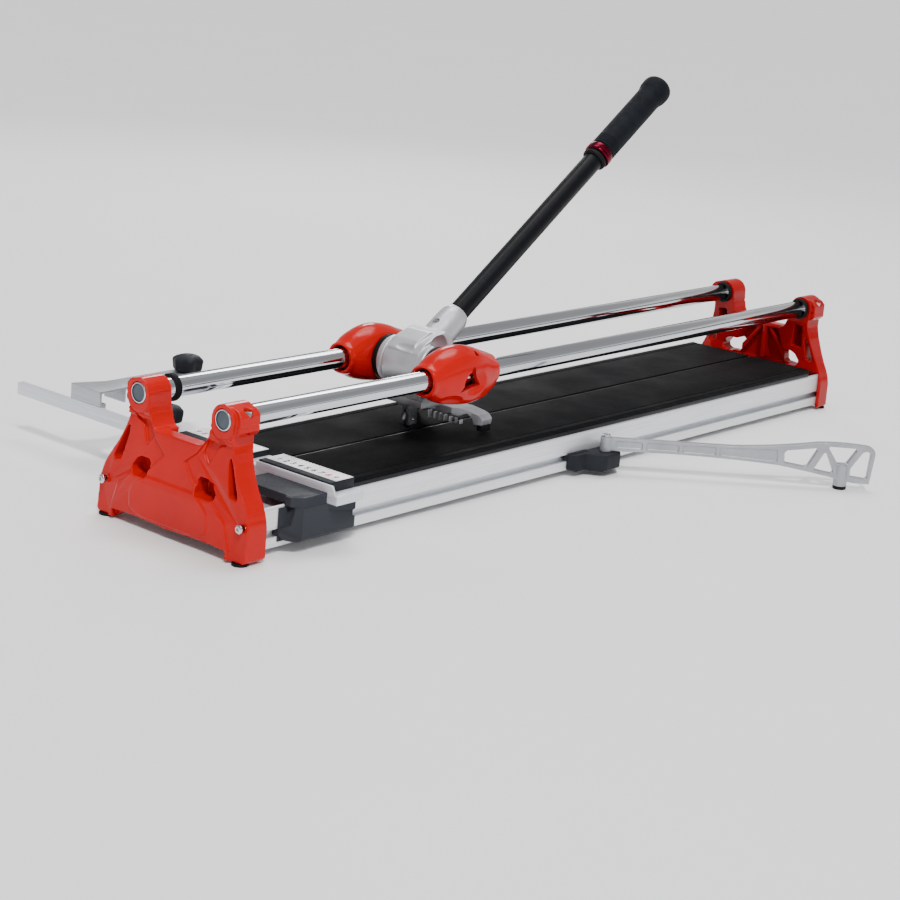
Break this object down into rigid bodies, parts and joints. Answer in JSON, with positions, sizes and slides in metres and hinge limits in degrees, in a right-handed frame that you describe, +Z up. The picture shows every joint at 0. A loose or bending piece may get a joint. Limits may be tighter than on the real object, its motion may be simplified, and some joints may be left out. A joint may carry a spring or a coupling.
{
  "type": "tile cutter",
  "caption": "Manual rail tile cutter: scoring carriage with a long handle on twin rods over a sprung rubber bed, with a ruled fence and side stop and a folding support arm.",
  "frame": {"origin": "on the floor, under the middle of the overall box", "axes": "+X along the guide rods from the fence end to the other end, +Y away from the support arm, +Z up"},
  "size_m": [1.11, 0.7342, 0.4507],
  "materials": {
    "red_paint": "gloss powder coat",
    "steel": "bright zinc",
    "rubber": "matt",
    "chrome": "hard chrome plate",
    "grey_plastic": "matt",
    "aluminium": "satin anodised",
    "bed_panel": "black anodised",
    "cast_silver": "fine cast, silver lacquer",
    "black_enamel": "satin enamel",
    "wine_anodised": "anodised",
    "black_plastic": "fine grain"
  },
  "bodies": {
    "base": {"front_frame": "red_paint", "rear_frame": "red_paint", "front_frame_screw_near": "steel", "front_frame_screw_far": "steel", "front_foot_near": "rubber", "front_foot_far": "rubber", "rear_frame_screw_near": "steel", "rear_frame_screw_far": "steel", "rear_foot_near": "rubber", "rear_foot_far": "rubber", "front_bumper_far": "rubber", "rear_bumper_near": "rubber", "rear_bumper_far": "rubber", "guide_rod_near": "chrome", "guide_rod_far": "chrome", "rod_plug_near": "grey_plastic", "rod_plug_far": "grey_plastic", "clamp_bolt_near": "steel", "clamp_bolt_far": "steel", "base_extrusion": "aluminium", "breaking_ridge": "steel", "fence_bar": "aluminium", "fence_ruler_near": "black_plastic", "fence_ruler_far": "black_plastic", "fence_block": "black_plastic"},
    "carriage": {"carriage_cowl_near": "red_paint", "carriage_cowl_far": "red_paint", "rod_bushing_near": "cast_silver", "rod_bushing_far": "cast_silver", "hub_seal_near": "rubber", "hub_seal_far": "rubber", "handle_axle": "steel", "carriage_bridge": "cast_silver", "wheel_pin": "steel", "breaker_pin": "steel"},
    "handle": {"handle_yoke": "cast_silver", "handle_set_screw": "steel", "handle_tube": "black_enamel", "handle_lock_ring": "wine_anodised", "handle_grip": "rubber"},
    "wheel": {"scoring_wheel": "steel"},
    "breaker": {"breaker": "cast_silver", "breaker_pad_near": "rubber", "breaker_pad_far": "rubber"},
    "bed_near": {"bed_board_near": "bed_panel", "bed_rubber_near": "rubber", "bed_spring_near_1": "steel", "bed_spring_near_2": "steel"},
    "bed_far": {"bed_board_far": "bed_panel", "bed_rubber_far": "rubber", "bed_spring_far_1": "steel", "bed_spring_far_2": "steel"},
    "side_stop": {"side_stop": "aluminium"},
    "stop_knob": {"stop_knob": "black_plastic"},
    "fence_knob": {"fence_knob": "black_plastic"},
    "arm_bracket": {"arm_bracket": "black_plastic", "arm_pivot_bolt": "steel"},
    "arm": {"support_arm": "cast_silver", "arm_foot": "rubber"}
  },
  "joints": [
    {"name": "carriage_slide", "type": "slide", "parent": "base", "child": "carriage", "axis": [1, 0, 0], "range_m": [-0.238, 0.64]},
    {"name": "handle_pivot", "type": "hinge", "parent": "carriage", "child": "handle", "pos_m": [-0.2, -0.014, 0.137], "axis": [0, 1, 0], "range_deg": [-60, 28]},
    {"name": "wheel_spin", "type": "hinge", "parent": "carriage", "child": "wheel", "pos_m": [-0.2, -0.014, 0.0735], "axis": [0, 1, 0], "continuous": true},
    {"name": "breaker_swing", "type": "hinge", "parent": "carriage", "child": "breaker", "pos_m": [-0.177, -0.014, 0.094], "axis": [0, 1, 0], "range_deg": [-30, 0]},
    {"name": "bed_near_tilt", "type": "hinge", "parent": "base", "child": "bed_near", "pos_m": [0.035, -0.1085, 0.05], "axis": [1, 0, 0], "range_deg": [-2.2, 0], "stiffness_Nm_per_rad": 15, "springref_deg": 5.73, "deforming": ["bed_spring_near_1", "bed_spring_near_2"]},
    {"name": "bed_far_tilt", "type": "hinge", "parent": "base", "child": "bed_far", "pos_m": [0.035, 0.0805, 0.05], "axis": [1, 0, 0], "range_deg": [0, 2.2], "stiffness_Nm_per_rad": 15, "springref_deg": -5.73, "deforming": ["bed_spring_far_1", "bed_spring_far_2"]},
    {"name": "side_stop_slide", "type": "slide", "parent": "base", "child": "side_stop", "axis": [0, 1, 0], "range_m": [-0.06, 0.09]},
    {"name": "stop_knob_turn", "type": "hinge", "parent": "side_stop", "child": "stop_knob", "pos_m": [-0.297, 0.247, 0.09], "axis": [0, 0, 1], "continuous": true},
    {"name": "fence_knob_turn", "type": "hinge", "parent": "base", "child": "fence_knob", "pos_m": [-0.427, 0.134, 0.075], "axis": [0, 0, 1], "continuous": true},
    {"name": "arm_bracket_slide", "type": "slide", "parent": "base", "child": "arm_bracket", "axis": [1, 0, 0], "range_m": [-0.33, 0.18]},
    {"name": "arm_swing", "type": "hinge", "parent": "arm_bracket", "child": "arm", "pos_m": [0.026, -0.126, 0.03], "axis": [0, 0, 1], "range_deg": [-45, 47]}
  ]
}
